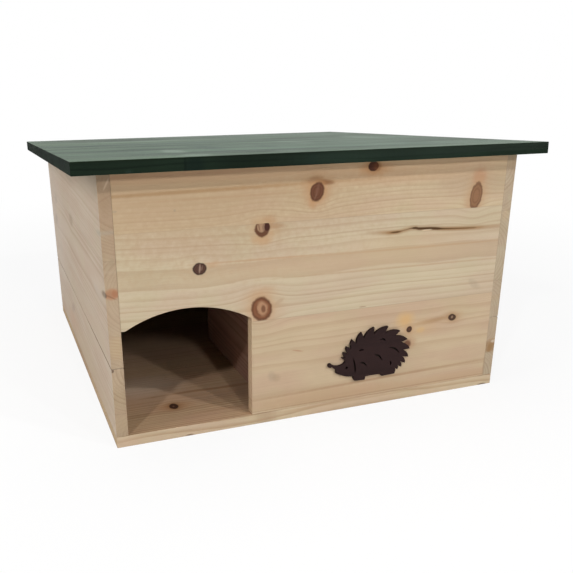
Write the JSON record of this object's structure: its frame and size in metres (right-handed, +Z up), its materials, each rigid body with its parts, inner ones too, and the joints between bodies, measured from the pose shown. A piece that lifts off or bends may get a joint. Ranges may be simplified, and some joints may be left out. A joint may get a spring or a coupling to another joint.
{
  "type": "hedgehog house",
  "caption": "Wooden hedgehog shelter with an arched doorway, a dividing wall inside, a dark hedgehog cut-out on the front and a green sloping roof that opens on hinges at the back.",
  "frame": {"origin": "on the ground, under the middle of the whole house with its roof", "axes": "+X to the right seen from the front, +Y from the front to the back, +Z up"},
  "size_m": [0.497, 0.531, 0.2845],
  "materials": {
    "front_wood": "bare planed softwood with fine level grain and brown knots",
    "side_wood": "bare planed softwood, a little greyer",
    "inner_wood": "bare planed softwood",
    "green_wood": "dark green stain through which the grain shows, with a satin sheen",
    "dark_plate": "dark brown stained board, matt",
    "zinc_steel": "zinc plated",
    "yellow_steel": "yellow zinc plated"
  },
  "bodies": {
    "house": {"floor_panel": "inner_wood", "front_panel": "front_wood", "back_panel": "front_wood", "lower_left_board": "side_wood", "upper_left_board": "side_wood", "lower_right_board": "side_wood", "upper_right_board": "side_wood", "dividing_wall": "inner_wood", "hedgehog_figure": "dark_plate", "floor_screw_left_1": "yellow_steel", "floor_screw_left_2": "yellow_steel", "floor_screw_right_1": "yellow_steel", "floor_screw_right_2": "yellow_steel", "floor_screw_front_1": "yellow_steel", "floor_screw_front_2": "yellow_steel", "floor_screw_back_1": "yellow_steel", "floor_screw_back_2": "yellow_steel", "floor_screw_divider_1": "yellow_steel", "floor_screw_divider_2": "yellow_steel", "brad_left_front_1": "zinc_steel", "brad_left_front_2": "zinc_steel", "brad_left_back_1": "zinc_steel", "brad_left_back_2": "zinc_steel", "brad_left_back_3": "zinc_steel", "brad_right_front_1": "zinc_steel", "brad_right_front_2": "zinc_steel", "brad_right_front_3": "zinc_steel", "brad_right_back_1": "zinc_steel", "brad_right_back_2": "zinc_steel", "brad_right_back_3": "zinc_steel", "hinge_left_wall_leaf": "zinc_steel", "hinge_right_wall_leaf": "zinc_steel", "hinge_left_pin": "zinc_steel", "hinge_right_pin": "zinc_steel", "wall_screw_left_1": "zinc_steel", "wall_screw_left_2": "zinc_steel", "wall_screw_right_1": "zinc_steel", "wall_screw_right_2": "zinc_steel"},
    "roof": {"roof_panel": "green_wood", "hinge_left_roof_leaf": "zinc_steel", "hinge_right_roof_leaf": "zinc_steel", "roof_screw_left_1": "zinc_steel", "roof_screw_left_2": "zinc_steel", "roof_screw_right_1": "zinc_steel", "roof_screw_right_2": "zinc_steel"}
  },
  "joints": [
    {"name": "roof_hinge", "type": "hinge", "parent": "house", "child": "roof", "pos_m": [0, 0.2237, 0.2394], "axis": [-1, 0, 0], "range_deg": [0, 95]}
  ]
}
